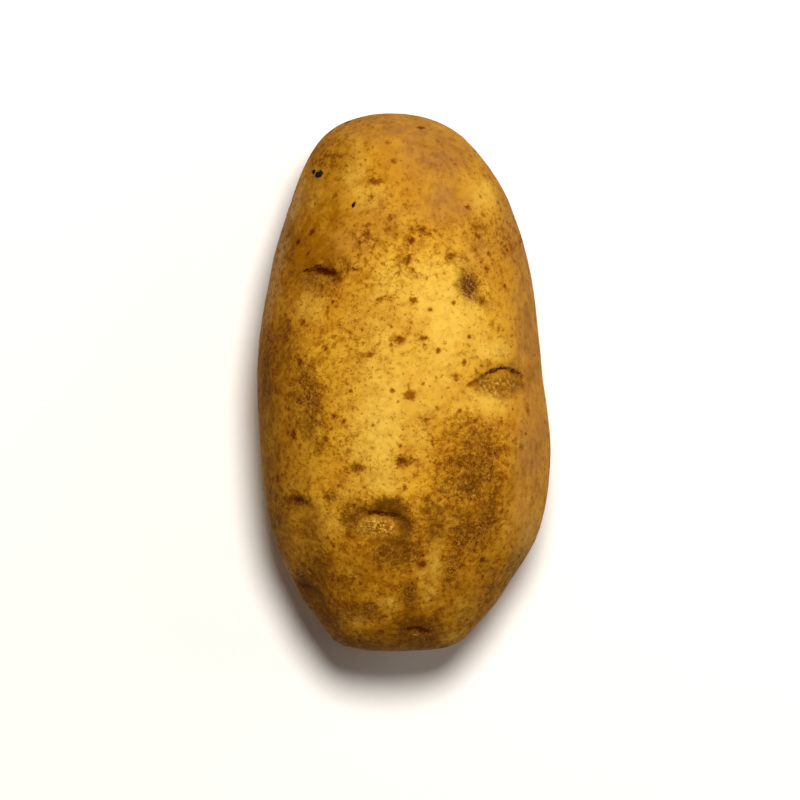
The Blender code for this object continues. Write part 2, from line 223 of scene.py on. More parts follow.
# A dusty tan film.
TAN = each(
    Patch,
    (7, 50, 9, 6, 1, -8), (-4, 57, 12, 3.5, 0.8), (24, 34, 3.5, 12, 0.7, 8), (27, 17, 4, 10, 0.8),
    (28, 4, 3.5, 8, 0.6), (28.5, -15, 4.5, 13, 0.95), (27, -32, 4, 7, 0.5, -20),
    (9, 39, 6, 5, 0.9), (-4, 36, 6, 5, 0.35), (-12, 30, 5, 5, 0.4), (17, 30, 4, 5, 0.5),
    (18, -10, 4, 3, 0.4),
)
# Browner skin, and painted shade on the left flank and towards the rose end.
OCHRE_AND_SHADE = each(
    Patch,
    (-20, 35, 7, 10, 1.15, -10), (-17, 51, 5, 5, 0.6), (-22, 26, 7, 6, 0.9), (-29, 0, 6, 26, 1),
    (-2, -47, 22, 14, 0.55), (-28, -24, 5, 14, 0.35), (-22, -40, 8, 8, 0.45),
    (-10, -43, 12, 6, 0.35), (-4, -59, 18, 5, 0.8), (-9, 52, 8, 6, 0.25), (-12, 42, 5, 6, 0.2),
    (-11, 20, 8, 6, 0.12), (20, 23, 2, 3, 0.3), (14, -50, 10, 8, 0.35, -20), (24, -36, 6, 8, 0.5),
    (14, -34, 7, 6, 0.5), (20, -24, 6, 6, 0.3),
)
# Paler skin, with a painted sheen on the crest and painted rim light low on the flanks.
PALE_SKIN_AND_LIGHT = each(
    Patch,
    (10, 16, 9, 13, 0.9), (9.5, 18, 3.5, 9, 0.5), (3, 22, 6, 6, 0.5), (-6, 12, 6, 9, 0.55),
    (20, 7.5, 4.5, 3, 0.8), (2, -2, 13, 9, 0.55), (19, -4.5, 5, 2.5, 0.65), (-6, -12, 6, 8, 1),
    (-6, 0, 5, 5, 0.3), (-5, -22.5, 6, 3.5, 0.7), (4, -14, 2.5, 5, 0.5),
    (-6.5, -32.3, 3, 1.4, 0.5), (10.6, -32, 1.1, 2.8, 0.5, -40), (7, -43.5, 3.5, 4, 0.6),
    (-3.4, -48.8, 2.2, 1.8, 1.2), (-7, -45, 3, 1.8, 0.4), (6, -48.5, 2.5, 2.5, 0.7),
    (13, -50, 3, 3, 0.5), (24, -31, 4, 5, 0.4, -15), (7, -38.5, 1.8, 4, 0.6, -15),
    (-11, 46, 3, 7, 0.6, 10), (-6, 41, 4, 3, 0.5), (17.5, 41.5, 4, 3.5, 0.8),
    (-16, -30, 4, 5, 0.3), (-20, -37, 3, 3, 0.4), (-21, 17, 3.5, 3.5, 0.5), (-11, -52, 3, 2, 0.6),
    (-6, -56.2, 5.5, 1.6, 0.9), (9.8, -56.4, 4, 1.5, 0.8, 14), (-24, -45, 1.2, 4, 0.6, 28),
    (-21, -50.5, 1.2, 4, 0.8, 36), (27.2, -35.5, 2, 6, 0.7, -27), (-11, -42.5, 2.5, 2, 0.5),
    (-3.5, 23.5, 3.4, 4.5, 0.7), (-20.5, 40.5, 2, 3, 0.5), (17, 36, 2, 2, 0.4),
    (-19, 28, 3.5, 1.5, 0.8), (-12, -25.6, 2.5, 1.6, 0.4), (28, -31, 2.5, 4, 0.2),
    (11.5, -7.5, 2.5, 2, 0.3), (27.5, -14, 2, 3, 0.3),
)
# Greenish grey skin.
GREEN = each(
    Patch,
    (24.5, -41.5, 2.4, 4.5, 0.65, -35), (14.3, -24.5, 2, 1.5, 0.35), (-2, -26.8, 2.6, 1.3, 0.5),
    (18, 3.2, 1.6, 1, 0.4, 35), (-8, -58, 9, 2.2, 0.4), (-28.5, -25, 2.5, 15, 0.3, 8),
    (-20, -49, 2.5, 6, 0.2, 35), (16, -50, 6, 8, 0.3, -35), (9, -57.5, 5, 2, 0.3),
    (28.5, -34, 3, 8, 0.12, -20), (30, -14, 2, 10, 0.08), (-29.5, -12, 2, 10, 0.12),
)
# Skin with hardly any flecks.
SMOOTH = each(
    Patch,
    (-19, 35, 7, 10, 0.9, -10), (4, 52, 14, 8, 0.8), (9, 40, 8, 5, 0.6), (27, 22, 5, 16, 0.5),
    (28.5, -10, 5, 18, 0.5), (3, -3, 9, 6, 0.5), (10, 15, 6, 10, 0.4), (19.5, -4.5, 6, 3, 0.7),
    (-29, -2, 3, 20, 0.5), (2, -59, 14, 3, 0.4),
)
# Painted rim light along the flanks, and a painted reflection high on the left flank.
RIM_LIGHT = each(
    Patch,
    (-24.4, 39, 1.2, 5.5, 0.9, -17), (-27.6, 29, 1.2, 6.5, 0.9, -15),
    (-30.2, 18, 1.2, 6, 0.8, -13), (-25, -43, 0.8, 5, 0.25, 27), (28.4, -35, 1.6, 5, 0.4, -22),
)
# Granular skin over the buds, and their yellower tips.
BUDS = each(
    Patch,
    (-20.2, 22.4, 3.4, 1.7, 0.6, -8), (21.4, -0.8, 5, 2.5, 0.75),
    (-5.7, -32.3, 4.3, 1.9, 1.25, -4), (2.6, -56.2, 1.6, 0.7, 0.9), (3.2, -57.4, 2.2, 1.2, 0.25),
    (-22.9, -26.6, 1.4, 0.5, 0.8, -20), (-23, -47.8, 0.8, 2.2, 0.4, 25),
    (-19.5, -48.5, 1.6, 2.5, 0.3, 35),
)
TIPS = each(
    Patch,
    (-17.9, 23.1, 1.1, 0.8, 0.45), (21.1, 1.3, 1.3, 0.6, 0.95, 5),
)
# Narrow dark folds: creases under the brows, an eye's tail, nicks. The creases' dark is partly
# painted shade.
STROKES = each(
    Patch,
    (-17.6, 24.8, 2.5, 0.72, 1.8, -13), (-19.2, 25.9, 0.8, 0.35, 0.8),
    (-16.3, 25.5, 1, 0.28, 0.6, -35), (-21.9, 25, 1.7, 0.4, 1.1, 16),
    (-17.5, 23.9, 2, 0.7, 0.35, -15), (20.1, 2.45, 1.2, 0.45, 1.5, 22),
    (22.3, 2.95, 1.7, 0.36, 1.3, 4), (25, 2.4, 1.3, 0.45, 1.3, -18), (18, 1.4, 1.6, 0.55, 0.8, 34),
    (26.4, 1.2, 0.9, 0.6, 0.5, -60), (26.2, -0.8, 1.2, 0.6, 0.5, -30),
    (-7.8, -29.3, 1.5, 0.65, 0.95, 6), (-6, -29.2, 1, 0.5, 0.8), (-4.6, -29.3, 1.4, 0.7, 1.15),
    (-2.2, -29.5, 1.7, 0.6, 1.05, -10), (0.2, -30.6, 0.9, 1.3, 0.5, 30),
    (1.2, -32, 0.7, 1.4, 0.45), (-24.4, -25.8, 1.4, 0.8, 0.65, -8),
    (-22.7, -26.7, 1.8, 0.9, 0.7, -24), (1.7, -55.2, 1.1, 0.55, 1, 6),
    (4.3, -55.5, 1.4, 0.7, 1.25, -12), (3, -54.9, 0.6, 0.4, 0.5),
    (-22.5, -45.3, 1.6, 0.6, 0.9, -14), (-20.4, -46.5, 1.8, 0.7, 0.4, -42),
    (-10.9, 25.1, 0.8, 0.38, 0.9, 20),
)
# Crumbs of dark soil. Their strength is their height.
SOIL = each(
    Patch,
    (-18.5, 46.1, 1.15, 0.75, 0.85, 8), (-19.8, 46.7, 0.6, 0.6, 0.55),
    (-11.15, 39.35, 0.42, 0.66, 0.4, -25),
)
SCAB = Patch(14.3, 21.5, 1.7, 3.3, 1.2, 4)

# On the lower face noise lays the stains. low and high are the values it sets in between.
Cloud = namedtuple("Cloud", "strength wavelength seed octaves low high")
LOWER_STAINS = {
    "russet": Cloud(1.0, 16, 5, 3, 0.05, 0.75),
    "film": Cloud(1.0, 22, 6, 3, 0.1, 0.6),
    "ochre_and_shade": Cloud(0.6, 25, 7, 2, -0.2, 0.6),
    "pale": Cloud(0.6, 19, 8, 2, 0.1, 0.7),
    "smooth": Cloud(1.0, 21, 15, 2, 0.1, 0.7),
}
UPPER_STAINS = dict(russet=RUSSET, film=TAN, ochre_and_shade=OCHRE_AND_SHADE, pale=PALE_SKIN_AND_LIGHT, smooth=SMOOTH, green=GREEN)

# Heights of an eye's forms, in millimetres, where its depth is 1.
EYE_HEIGHTS = dict(
    socket=-0.8, brow=0.38, crease=-0.42, lip=0.06, bud=0.3, tip=0.1, ring=-0.08, wrinkles=0.015
)
BARE_BUD_HEIGHT = 0.36  # more, where the bud stands clear
GRANULE_HEIGHT = 0.06
# Waves all over the skin: height and wavelength in millimetres, seed and octaves.
WAVES = ((0.16, 17, 1, 1), (0.07, 7, 2, 2), (0.025, 1.8, 3, 1))
# Heights of the other marks, in millimetres.
FOLD_DEPTH = 0.2
LENTICEL_RIM = 0.07
LENTICEL_PIT = 0.1
CORK_HEIGHT = 0.04
CORK_ROUGHNESS = 0.05
SCAB_HEIGHT = 0.12
STUB_HEIGHT = 0.9
SCAR_DEPTH = 1.1

# Mesh density, as in the solid but finer. The margins of the divided faces are in reaches round
# an eye or its crease, and in millimetres, for each level, beyond the other marks.
SQUARES_AROUND = 70
SQUARES_ALONG = 144
EYE_MARGIN = 1.15
CREASE_MARGIN = 0.2
LENTICEL_MARGINS = {1: 0.7, 2: 0.2}
MARK_MARGINS = {1: 1.2, 2: 0.5}

# -------- helpers


def unit(vectors):
    """Each row, brought to length 1."""
    return vectors / np.linalg.norm(vectors, axis=-1, keepdims=True)


def through(values, at):
    """A smooth curve through the values at STATIONS, read at each given station."""
    slopes = np.gradient(values, STATIONS)
    i = np.clip(np.searchsorted(STATIONS, at) - 1, 0, len(STATIONS) - 2)
    step = STATIONS[i + 1] - STATIONS[i]
    s = (at - STATIONS[i]) / step
    start = (1 + 2 * s) * (1 - s) ** 2 * values[i] + s * (1 - s) ** 2 * step * slopes[i]
    end = s**2 * (3 - 2 * s) * values[i + 1] + s**2 * (s - 1) * step * slopes[i + 1]
    return start + end


def bell(squared_distance):
    """1 at no distance, and soon nothing beyond a distance of 1."""
    return np.exp(-squared_distance)


def smooth_step(value, low, high):
    """0 below low, 1 above high, and a soft rise between."""
    t = np.clip((value - low) / (high - low), 0, 1)
    return t * t * (3 - 2 * t)


def chance(cells, seed):
    """A number from 0 to 1 for each whole-numbered cell, the same on every run."""
    mixed = cells[:, 0] * 374761393 + cells[:, 1] * 668265263 + cells[:, 2] * 1442695041
    mixed = (mixed + seed * 1274126177) & 0xFFFFFFFF
    mixed = ((mixed ^ (mixed >> 13)) * 1103515245) & 0xFFFFFFFF
    return ((mixed ^ (mixed >> 16)) & 0xFFFFFF) / 0xFFFFFF


def unevenness(points, wavelength, seed, octaves=1):
    """Smooth noise from about -1 to 1. points and wavelength are in millimetres."""
    total = np.zeros(len(points))
    for octave in range(octaves):
        place = points / wavelength * 2**octave + 17.3 * octave
        cell = np.floor(place).astype(np.int64)
        part = place - cell
        part = part * part * (3 - 2 * part)
        value = np.zeros(len(points))
        for corner in product((0, 1), repeat=3):
            share = np.prod(np.where(corner, part, 1 - part), axis=1)
            value += share * chance(cell + corner, seed + octave)
        total += (2 * value - 1) * 0.5**octave
    return total


# -------- the form


def along_body(station):
    """Distance along the length, in metres. The odd terms flatten the ends."""
    mean = (STEM_BLUNTNESS + ROSE_BLUNTNESS) / 2
    slant = (STEM_BLUNTNESS - ROSE_BLUNTNESS) / 2
    return LENGTH / 2 * (station + (mean + slant * station) * (station - station**3))


def body(directions):
    """The smooth body's skin, in metres, in these directions from its middle."""
    station = directions[:, 1]
    x = through(SIDE_SHIFTS, station) + through(HALF_WIDTHS, station) * directions[:, 0]
    z = through(LIFTS, station) + through(HALF_HEIGHTS, station) * directions[:, 2]
    return np.column_stack((x, along_body(station), z))


def outward(surface, directions):
    """The unit normals of a surface that is a function of direction, by small steps each way."""
    step = 0.001
    upright = np.abs(directions[:, 2:]) < 0.7
    helper = np.where(upright, (0.0, 0.0, 1.0), (1.0, 0.0, 0.0))
    first = unit(np.cross(directions, helper)) * step
    second = np.cross(directions, first)
    across = surface(unit(directions + first)) - surface(unit(directions - first))
    along = surface(unit(directions + second)) - surface(unit(directions - second))
    return unit(np.cross(across, along))


def direction_of(x, y, side):
    """The direction whose skin lies at x and y, in millimetres, on the upper or lower face."""
    stations = np.linspace(-1, 1, 2001)
    station = np.interp(y * MM, along_body(stations), stations)
    shift = through(SIDE_SHIFTS, np.array([station]))[0]
    half_width = through(HALF_WIDTHS, np.array([station]))[0]
    sideways = (x * MM - shift) / half_width
    room = math.sqrt(1 - station**2)
    sideways = max(-LIMB * room, min(LIMB * room, sideways))
    return np.array([[sideways, station, side * math.sqrt(room**2 - sideways**2)]])


LUMP_MIDDLES = [body(direction_of(lump.x, lump.y, lump.side)) for lump in LUMPS]


def lumped(directions):
    """The body with its broad lumps and hollows."""
    points = body(directions)
    push = np.zeros(len(points))
    for lump, middle in zip(LUMPS, LUMP_MIDDLES):
        away = np.linalg.norm(points - middle, axis=1)
        push += lump.height * MM * bell((away / (lump.radius * MM)) ** 2)
    return points + outward(body, directions) * push[:, None]


def centring():
    """How far the body moves along x and y when its box is centred, in millimetres."""
    stations = np.linspace(-1, 1, 401)
    room = np.sqrt(1 - stations**2)
    sideways = np.concatenate((room, -room))
    rim = np.column_stack((sideways, np.tile(stations, 2), np.zeros(len(sideways))))
    points = lumped(rim)[:, :2] / MM
    return -(points.min(axis=0) + points.max(axis=0)) / 2


# The lists of marks give their places on the finished, centred skin.
CENTRING = centring()


class Spot:
    """A place on the skin with axes of its own: across, towards the stem, and out."""

    def __init__(self, direction, reach, turn):
        self.middle = lumped(direction)[0]
        self.reach = reach * MM
        self.out = outward(lumped, direction)[0]
        stemward = unit(np.array((0.0, 1.0, 0.0)) - self.out * self.out[1])
        across = np.cross(stemward, self.out)
        turn = math.radians(turn)
        self.stemward = stemward * math.cos(turn) - across * math.sin(turn)
        self.across = across * math.cos(turn) + stemward * math.sin(turn)

    def measure(self, points):
        """Points from the spot's middle, in reaches: across, towards the stem, out."""
        offset = (points - self.middle) / self.reach
        return offset @ self.across, offset @ self.stemward, offset @ self.out

    def away(self, points):
        """Distances from the spot's middle, in metres."""
        return np.linalg.norm(points - self.middle, axis=1)


EYE_SPOTS = [Spot(direction_of(eye.x, eye.y, eye.side), eye.reach, eye.turn) for eye in EYES]


def lumped_direction(x, y):
    """The direction whose finished upper skin lies at x and y, in millimetres."""
    goal = np.array((x, y)) - CENTRING
    tried = goal
    for attempt in range(3):  # the lumps push the skin aside
        direction = direction_of(*tried, 1)
        tried = tried + goal - lumped(direction)[0, :2] / MM
    return direction


def upper_lenticels():
    """The lenticels of the list. Each is a spot, its tone and its stretch."""
    return [
        (Spot(lumped_direction(pore.x, pore.y), pore.radius, pore.turn), pore.tone, pore.stretch)
        for pore in UPPER_LENTICELS
    ]


def other_lenticels(placed):
    """Lenticels by chance on the lower face and the flanks, none on an eye or on another one."""
    rng = np.random.default_rng(11)
    taken = [spot.middle for spot, tone, stretch in placed]
    found = []
    while len(found) < OTHER_LENTICELS:
        direction = unit(rng.normal(size=(1, 3)))
        radius = rng.uniform(0.35, 0.8)
        stretch = rng.uniform(1.0, 1.7)
        turn = rng.uniform(-90, 90)
        tone = rng.uniform(0.5, 1.0)
        middle = lumped(direction)[0]
        nearest = min(np.linalg.norm(middle - other) for other in taken)
        nearest_eye = min(np.linalg.norm(middle - s.middle) - s.reach for s in EYE_SPOTS)
        if direction[0, 2] < 0.15 and nearest > LENTICEL_SPACING * MM and nearest_eye > 0:
            taken.append(middle)
            found.append((Spot(direction, radius, turn), tone, stretch))
    return found


LENTICELS = upper_lenticels()
LENTICELS += other_lenticels(LENTICELS)


def from_crease(across, stemward):
    """Distance from the crease under the brow, which arches towards the stem."""
    return stemward - (BROW_TOP - BROW_ARCH * across**2)


def eye_parts(eye, spot, points):
    """How much each point belongs to each part of an eye, from 0 to 1."""
    across, stemward, out = spot.measure(points)
    phase = 2.1 * eye.x + 0.7 * eye.y
    wavy = 0.03 * np.sin(2.9 * across + phase) + 0.012 * np.sin(11 * across + 2 * phase)
    stemward = stemward + wavy
    across = across + 0.05 * np.sin(4.1 * stemward + phase)
    gap = from_crease(across, stemward)
    shown = np.abs(out) < EYE_THICKNESS
    ends = np.exp(-np.abs(across / 0.88) ** 4) * shown
    heavy = np.clip(1 + eye.lean * across + 0.2 * np.sin(5 * across + phase), 0.25, 2)
    ring = np.hypot(across, (stemward + 0.46) / 0.6)
    under = (gap < 0.1) * shown
    return {
        "socket": bell((across / 1.15) ** 2 + ((stemward + 0.34) / 0.7) ** 2),
        "brow": ends * bell(((gap - 0.3) / 0.22) ** 2),
        "crease": ends * bell((gap / (np.where(gap > 0, 0.045, 0.12) * heavy)) ** 2),
        "shade": ends * bell((gap / np.where(gap > 0, 0.5, 0.2)) ** 2),
        "lip": ends * bell(((gap - 0.095) / 0.04) ** 2),
        "bud": bell((across / 0.8) ** 2 + ((stemward + 0.46) / 0.42) ** 2),
        "tip": bell((across / 0.22) ** 2 + ((stemward + 0.08) / 0.15) ** 2),
        "ring": under * bell(((ring - 0.95) / 0.3) ** 2),
        "wrinkles": under * bell((ring / 1.2) ** 2) * np.sin(15 * across + 5 * stemward),
    }


def rested(height):
    """Heights over the surface: flat where the body would sink into it, easing in just above."""
    eased = height**2 / (4 * REST_EASE)
    return np.where(height <= 0, 0, np.where(height < 2 * REST_EASE, eased, height - REST_EASE))


def in_half_widths(patch, dx, dy, margin=0.0):
    """Offsets from a patch's middle, turned with it and measured in its half-widths."""
    turn = math.radians(patch.turn)
    across = (dx * math.cos(turn) + dy * math.sin(turn)) / (patch.across + margin)
    along = (dy * math.cos(turn) - dx * math.sin(turn)) / (patch.along + margin)
    return across, along


def patches(points, list_of_patches, ragged=1.0):
    """How strongly the patches cover each point, seen from above. Points are in millimetres."""
    x = points[:, 0] + CENTRING[0] + ragged * 0.9 * unevenness(points, 7.0, 101, 2)
    y = points[:, 1] + CENTRING[1] + ragged * 0.9 * unevenness(points, 7.0, 202, 2)
    total = np.zeros(len(points))
    for patch in list_of_patches:
        across, along = in_half_widths(patch, x - patch.x, y - patch.y)
        total += patch.strength * bell((across**2 + along**2) ** 1.3)
    return total


def strokes(points):
    """How strongly the narrow folds cover each point. Their edges are torn."""
    shake = [0.2 * unevenness(points, 0.9, seed, 2) for seed in (303, 404, 505)]
    return patches(points + np.column_stack(shake), STROKES, 0.25)


def in_reach(points, patch, margin):
    """Which points lie in a patch, or at most margin beyond it. Everything is in millimetres."""
    dx = points[:, 0] + CENTRING[0] - patch.x
    dy = points[:, 1] + CENTRING[1] - patch.y
    return (np.hypot(*in_half_widths(patch, dx, dy, margin)) < 1) & (points[:, 2] > 0)


# -------- the mesh


def directions_of(elements):
    """Unit directions of some vertices, or of the middles of some faces."""
    if isinstance(elements[0], bmesh.types.BMFace):
        return unit(np.array([face.calc_center_median() for face in elements]))
    return unit(np.array([vert.co for vert in elements]))


def squares_on_sphere():
    """A sphere of near-equal squares: a box divided finer along the body, then made round."""
    mesh = bmesh.new()
    bmesh.ops.create_cube(mesh, size=2)
    lengthwise = [e for e in mesh.edges if abs(e.verts[0].co.y - e.verts[1].co.y) > 1]
    bmesh.ops.subdivide_edges(mesh, edges=lengthwise, cuts=SQUARES_ALONG - 1)
    across = [e for e in mesh.edges if abs(e.verts[0].co.y - e.verts[1].co.y) < 1e-4]
    bmesh.ops.subdivide_edges(mesh, edges=across, cuts=SQUARES_AROUND - 1, use_grid_fill=True)
    for vert in mesh.verts:
        # Equal steps of angle, so that squares near the box's corners aren't small.
        vert.co = [math.tan(math.pi / 4 * part) for part in vert.co]
        vert.co.normalize()
    return mesh


def divide(mesh, wanted):
    """Divides each wanted face in four, and puts the new corners back on the sphere."""
    edges = {edge for face in wanted for edge in face.edges}
    bmesh.ops.subdivide_edges(mesh, edges=list(edges), cuts=1, use_grid_fill=True)
    for vert in mesh.verts:
        vert.co.normalize()


def divide_at_details(mesh, level):
    """Divides the faces at the details. Level 2 takes creases, listed lenticels and soil."""
    faces = list(mesh.faces)
    points = lumped(directions_of(faces))
    picked = np.zeros(len(faces), bool)
    for spot in EYE_SPOTS:
        across, stemward, out = spot.measure(points)
        if level == 1:
            wanted = np.hypot(across / 1.1, stemward + 0.25) < EYE_MARGIN
        else:
            gap = from_crease(across, stemward)
            wanted = (np.abs(gap - 0.02) < CREASE_MARGIN) & (np.abs(across) < 1)
        picked |= wanted & (np.abs(out) < 1)
    for spot, tone, stretch in LENTICELS[: None if level == 1 else len(UPPER_LENTICELS)]:
        picked |= spot.away(points) < spot.reach * stretch + LENTICEL_MARGINS[level] * MM
    for patch in SOIL + STROKES + ((SCAB,) if level == 1 else ()):
        picked |= in_reach(points / MM, patch, MARK_MARGINS[level])
    divide(mesh, [face for face, keep in zip(faces, picked) if keep])


def shape_eyes(smooth):
    """The eyes' relief in millimetres, and how much of each of their marks each point carries."""
    relief = np.zeros(len(smooth))
    marks = {name: np.zeros(len(smooth)) for name in EYE_MARKS}
    granules = unevenness(smooth / MM, 0.8, 4, 2)
    for eye, spot in zip(EYES, EYE_SPOTS):
        parts = eye_parts(eye, spot, smooth)
        near = np.abs(spot.measure(smooth)[2]) < EYE_THICKNESS
        height = eye.bare * (BARE_BUD_HEIGHT + GRANULE_HEIGHT * granules) * parts["bud"]
        shares = {"crease": eye.groove, "lip": eye.lip, "tip": eye.bare}
        for name, part_height in EYE_HEIGHTS.items():
            height += part_height * shares.get(name, 1) * parts[name]
        relief += near * eye.depth * height
        bud = eye.bare if eye.side < 0 else 0.0
        amounts = {"crease": eye.slit, "lip": eye.lip, "bud": bud, "tip": 0.6 * bud}
        for name in marks:
            amount = amounts.get(name, eye.tone)
            marks[name] = np.maximum(marks[name], near * amount * parts[name])
    return relief, marks


def shape_lenticels(smooth):
    """The lenticels' relief in millimetres, and how much of one each point carries."""
    relief = np.zeros(len(smooth))
    mark = np.zeros(len(smooth))
    for spot, tone, stretch in LENTICELS:
        across, stemward, out = spot.measure(smooth)
        distance = np.hypot(across / stretch, stemward)
        near = spot.away(smooth) < 3 * spot.reach * stretch
        rim = LENTICEL_RIM * bell(((distance - 0.95) / 0.35) ** 2)
        relief += near * tone * (rim - LENTICEL_PIT * bell((distance / 0.6) ** 2))
        mark = np.maximum(mark, near * tone * bell((distance / 1.5) ** 2))
    return relief, mark


def stains(points, above):
    """How much of each stain each point carries. above is 1 on the upper face, 0 on the lower."""
    marks = {name: above * patches(points, group) for name, group in UPPER_STAINS.items()}
    for name, cloud in LOWER_STAINS.items():
        noise = unevenness(points, cloud.wavelength, cloud.seed, cloud.octaves)
        marks[name] += (1 - above) * cloud.strength * smooth_step(noise, cloud.low, cloud.high)
    return marks


def crumbs(points):
    """How far the soil stands up, in millimetres, and how much of each point it covers."""
    height = np.zeros(len(points))
    cover = np.zeros(len(points))
    x = points[:, 0] + CENTRING[0] + 0.12 * unevenness(points, 0.5, 31, 2)
    y = points[:, 1] + CENTRING[1] + 0.12 * unevenness(points, 0.5, 32, 2)
    for patch in SOIL:
        dx = x - patch.x
        middle = lumped(lumped_direction(patch.x, patch.y))[0] / MM
        dx = np.copysign(np.hypot(dx, points[:, 2] - middle[2]), dx)  # down the slope
        across, along = in_half_widths(patch, dx, y - patch.y)
        inside = np.exp(-((across**2 + along**2) ** 2)) * (points[:, 2] > 0)
        height = np.maximum(height, patch.strength * inside)
        cover = np.maximum(cover, inside)
    return height, cover


def shape_skin(directions):
    """The skin's points, and how much of each kind of mark each of them carries."""
    smooth = lumped(directions)
    points = smooth / MM
    above = smooth_step(directions[:, 2], -0.12, 0.12)

    push, marks = shape_eyes(smooth)
    for height, wavelength, seed, octaves in WAVES:
        push += height * unevenness(points, wavelength, seed, octaves)
    pores, marks["lenticel"] = shape_lenticels(smooth)
    push += pores

    marks.update(stains(points, above))
    # Painted rim light and reflection on the flanks, on the upper face.
    marks["rim_light"] = smooth_step(directions[:, 2], -0.12, 0.18) * patches(points, RIM_LIGHT)
    # The darker patches join the eyes' shade bands: stains, and painted shade.
    marks["shade"] = np.clip(marks["shade"] + above * patches(points, DARK_STAINS_AND_SHADE), 0, 1)
    marks["bud"] = np.maximum(marks["bud"], above * patches(points, BUDS, 0.4))
    marks["tip"] = np.maximum(marks["tip"], above * patches(points, TIPS, 0.3))
    cork = np.clip(marks["russet"], 0, 1)
    push += cork * (CORK_ROUGHNESS * unevenness(points, 1.6, 9, 2) + CORK_HEIGHT)

    folds = above * strokes(points)
    marks["crease"] = np.maximum(marks["crease"], folds)
    push -= FOLD_DEPTH * np.minimum(folds, 1)
    marks["scab"] = above * patches(points, (SCAB,), 0.6)
    push += marks["scab"] * SCAB_HEIGHT * (1 + unevenness(points, 0.9, 10, 2))
    height, marks["soil"] = crumbs(points)
    push += height * (1 + 0.35 * unevenness(points, 0.45, 12, 2))

    away = np.linalg.norm(smooth - lumped(direction_of(SCAR_X, SCAR_Y, -1)), axis=1) / SCAR_RADIUS
    torn = 1 + 0.3 * unevenness(points, 1.1, 14, 2)
    push += STUB_HEIGHT * torn * bell((away / 0.42) ** 2) - SCAR_DEPTH * bell(away**2)
    marks["scar"] = smooth_step(away, 1.25, 0.55)

    skin = smooth + outward(lumped, directions) * push[:, None] * MM
    skin[:, 2] = rested(skin[:, 2] + REST_DEPTH)
    return skin, marks


def add_object(name, data):
    thing = bpy.data.objects.new(name, data)
    bpy.context.collection.objects.link(thing)
    return thing


def build_skin():
    """The skin as one object, centred like the solid."""
    mesh = squares_on_sphere()
    divide_at_details(mesh, 1)
    divide_at_details(mesh, 2)
    points, marks = shape_skin(directions_of(list(mesh.verts)))
    low, high = (np.array(corner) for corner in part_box("potato"))
    middle = (points.min(axis=0) + points.max(axis=0)) / 2
    points[:, :2] += ((low + high) / 2 - middle)[:2]
    for vert, point in zip(mesh.verts, points):
        vert.co = point
    data = bpy.data.meshes.new("potato_skin")
    mesh.to_mesh(data)
    mesh.free()
    data.shade_smooth()
    for name, values in marks.items():
        layer = data.attributes.new(name, "FLOAT", "POINT")
        layer.data.foreach_set("value", np.clip(values, 0, 2).astype(np.float32))
    return add_object("potato_skin", data)


class Nodes:
    """Adds nodes to a material. All but add and feed give back the new node's output."""

    def __init__(self, tree):
        self.tree = tree

    def feed(self, socket, value):
        """Links an output to the socket, or sets the socket's value."""
        if isinstance(value, bpy.types.NodeSocket):
            self.tree.links.new(value, socket)
        elif socket.type == "RGBA":
            socket.default_value = (*value, 1.0)
        else:
            socket.default_value = value

    def add(self, kind, inputs=None, **settings):
        node = self.tree.nodes.new(kind)
        for name, value in settings.items():
            setattr(node, name, value)
        for name, value in (inputs or {}).items():
            self.feed(node.inputs[name], value)
        return node

    def math(self, operation, *values, clamp=False):
        inputs = dict(enumerate(values))
        return self.add("ShaderNodeMath", inputs, operation=operation, use_clamp=clamp).outputs[0]

    def times(self, first, second, clamp=False):
        return self.math("MULTIPLY", first, second, clamp=clamp)

    def plus(self, total, part, share, clamp=False):
        """The total, and a share of the part."""
        return self.math("MULTIPLY_ADD", part, share, total, clamp=clamp)

    def off_middle(self, noise):
        """How far a noise is from 0.5: small along its contours."""
        return self.math("ABSOLUTE", self.math("SUBTRACT", noise, 0.5))

    def vector_math(self, operation, first, second):
        """second is a number for SCALE, and a vector otherwise."""
        inputs = {0: first, "Scale" if operation == "SCALE" else 1: second}
        return self.add("ShaderNodeVectorMath", inputs, operation=operation).outputs[0]

    def mark(self, name):
        """How much of a kind of mark the skin carries."""
        return self.add("ShaderNodeAttribute", attribute_name=name).outputs["Fac"]

    def noise(self, place, scale, detail=2.0, roughness=0.5, distortion=0.0, output="Fac"):
        names = "Vector", "Scale", "Detail", "Roughness", "Distortion"
        inputs = dict(zip(names, (place, scale, detail, roughness, distortion)))
        return self.add("ShaderNodeTexNoise", inputs).outputs[output]

    def cells(self, place, scale):
        """Distance from the nearest of many random points, and three chances of that point."""
        node = self.add("ShaderNodeTexVoronoi", {"Vector": place, "Scale": scale})
        chances = self.add("ShaderNodeSeparateColor", {0: node.outputs["Color"]})
        return node.outputs["Distance"], *chances.outputs

    def step(self, value, low, high, start=0.0, end=1.0):
        """From start at low to end at high, softly."""
        names = "Value", "From Min", "From Max", "To Min", "To Max"
        inputs = dict(zip(names, (value, low, high, start, end)))
        node = self.add("ShaderNodeMapRange", inputs, interpolation_type="SMOOTHSTEP")
        return node.outputs["Result"]

    def blend(self, factor, first, second, kind="MIX"):
        node = self.add("ShaderNodeMix", data_type="RGBA", blend_type=kind, clamp_factor=True)
        for index, value in ((0, factor), (6, first), (7, second)):
            self.feed(node.inputs[index], value)
        return node.outputs[2]

    def tint(self, factor, colour, tone):
        return self.blend(factor, colour, tone, "MULTIPLY")

    def lay(self, colour, *layers):
        """The colour under layers. Each is how much it covers, and its colour."""
        for factor, tone in layers:
            colour = self.blend(factor, colour, tone)
        return colour


def new_material(name):
    """A material, the adder of its nodes, and its shader."""
    material = bpy.data.materials.new(name)
    material.use_nodes = True
    return material, Nodes(material.node_tree), material.node_tree.nodes["Principled BSDF"]


# -------- the skin's material

